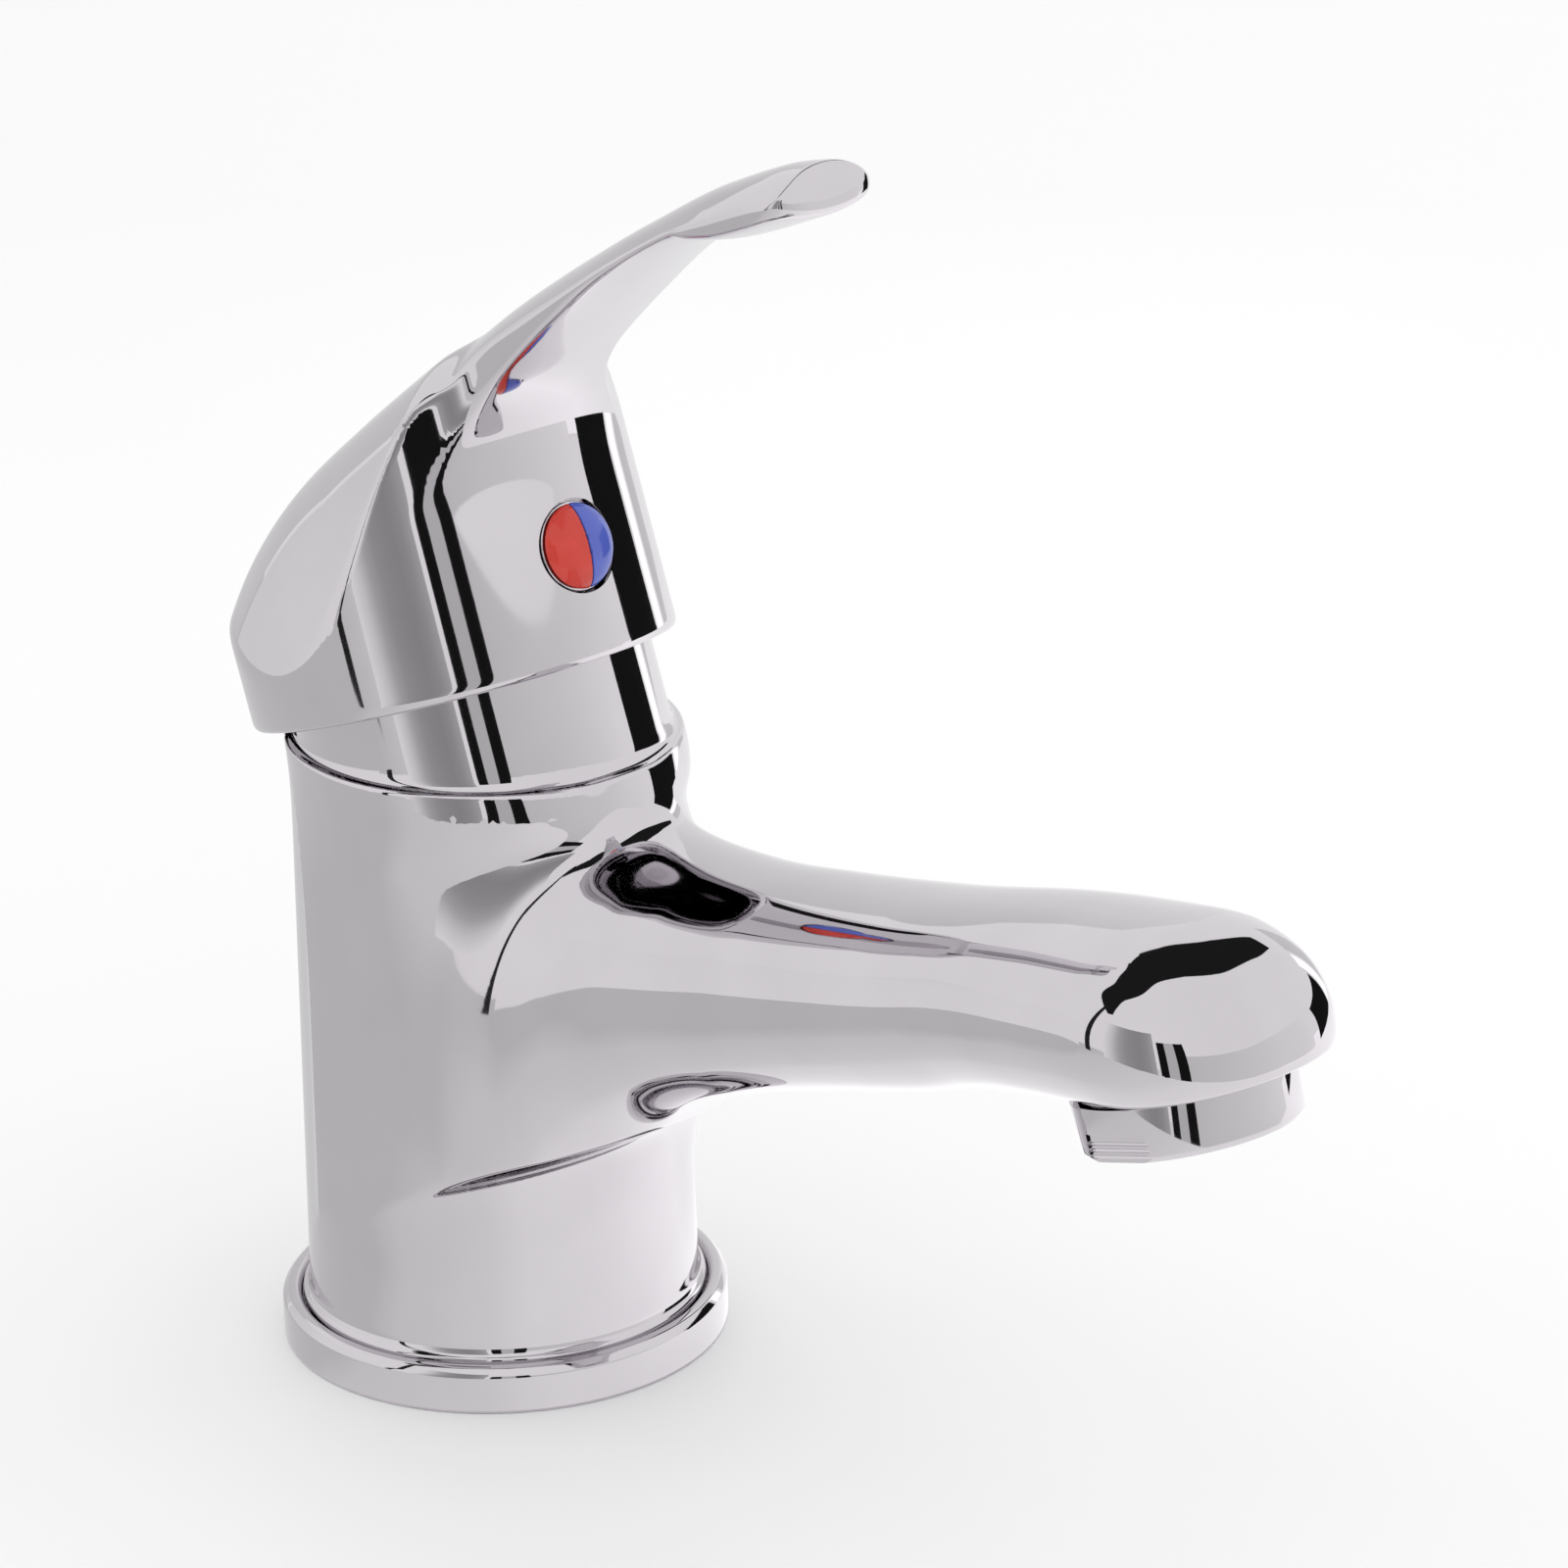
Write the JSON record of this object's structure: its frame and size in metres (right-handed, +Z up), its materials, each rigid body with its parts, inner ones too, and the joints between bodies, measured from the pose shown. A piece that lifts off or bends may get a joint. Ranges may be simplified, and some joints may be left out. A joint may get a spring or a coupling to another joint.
{
  "type": "single-lever basin mixer faucet",
  "caption": "Chrome basin mixer: round column, low tapering spout with screwed aerator, and one leaning lever that lifts for flow and swings for temperature.",
  "frame": {"origin": "middle of the foot's underside, on the basin's top face, on the column's axis", "axes": "+Z up along the column; the spout points along -Y, towards the user; +X is the user's right"},
  "size_m": [0.0524, 0.1529, 0.1511],
  "materials": {
    "chrome_casting": "mirror-polished chrome plating on a brass or zinc casting",
    "chrome_ring": "mirror-polished chrome plating on a turned ring",
    "chrome_trim": "polished chrome plating on a small turned part",
    "seal_rubber": "black moulded rubber",
    "cartridge_plastic": "grey moulded engineering plastic",
    "aerator_plastic": "off-white moulded plastic",
    "disc_ceramic": "lapped alumina ceramic",
    "stainless_steel": "plain stainless steel",
    "plain_brass": "machined brass",
    "index_red": "glossy red plastic",
    "index_blue": "glossy blue plastic"
  },
  "bodies": {
    "mixer_body": {"body": "chrome_casting", "base_ring": "chrome_ring", "base_seal": "seal_rubber", "hot_port_seal": "seal_rubber", "cold_port_seal": "seal_rubber", "mixed_port_seal": "seal_rubber", "cartridge_base": "cartridge_plastic", "cartridge_housing": "cartridge_plastic", "fixed_ceramic_disc": "disc_ceramic", "cartridge_nut": "plain_brass", "cartridge_cover": "chrome_ring", "aerator_housing": "chrome_trim", "aerator_insert": "aerator_plastic", "aerator_screen": "stainless_steel", "aerator_washer": "seal_rubber"},
    "turret": {"spindle_turret": "cartridge_plastic", "turret_o_ring": "seal_rubber", "spindle_pivot_pin": "stainless_steel"},
    "lever": {"handle": "chrome_casting", "lever_spindle": "plain_brass", "handle_set_screw": "stainless_steel", "index_plug": "chrome_trim", "index_hot_half": "index_red", "index_cold_half": "index_blue"},
    "disc": {"moving_ceramic_disc": "disc_ceramic", "disc_carrier": "cartridge_plastic"}
  },
  "joints": [
    {"name": "temperature_swing", "type": "hinge", "parent": "mixer_body", "child": "turret", "pos_m": [0, 0, 0.076], "axis": [0, 0.3256, 0.9455], "range_deg": [-45, 45]},
    {"name": "lever_lift", "type": "hinge", "parent": "turret", "child": "lever", "pos_m": [0, 0.00163, 0.08073], "axis": [-1, 0, 0], "range_deg": [0, 18]},
    {"name": "disc_slide", "type": "slide", "parent": "turret", "child": "disc", "axis": [0, -0.9455, 0.3256], "range_m": [0, 0.0037]}
  ],
  "couplings": [
    {"joint": "disc_slide", "follows": "lever_lift", "m_per_rad": 0.0115}
  ]
}
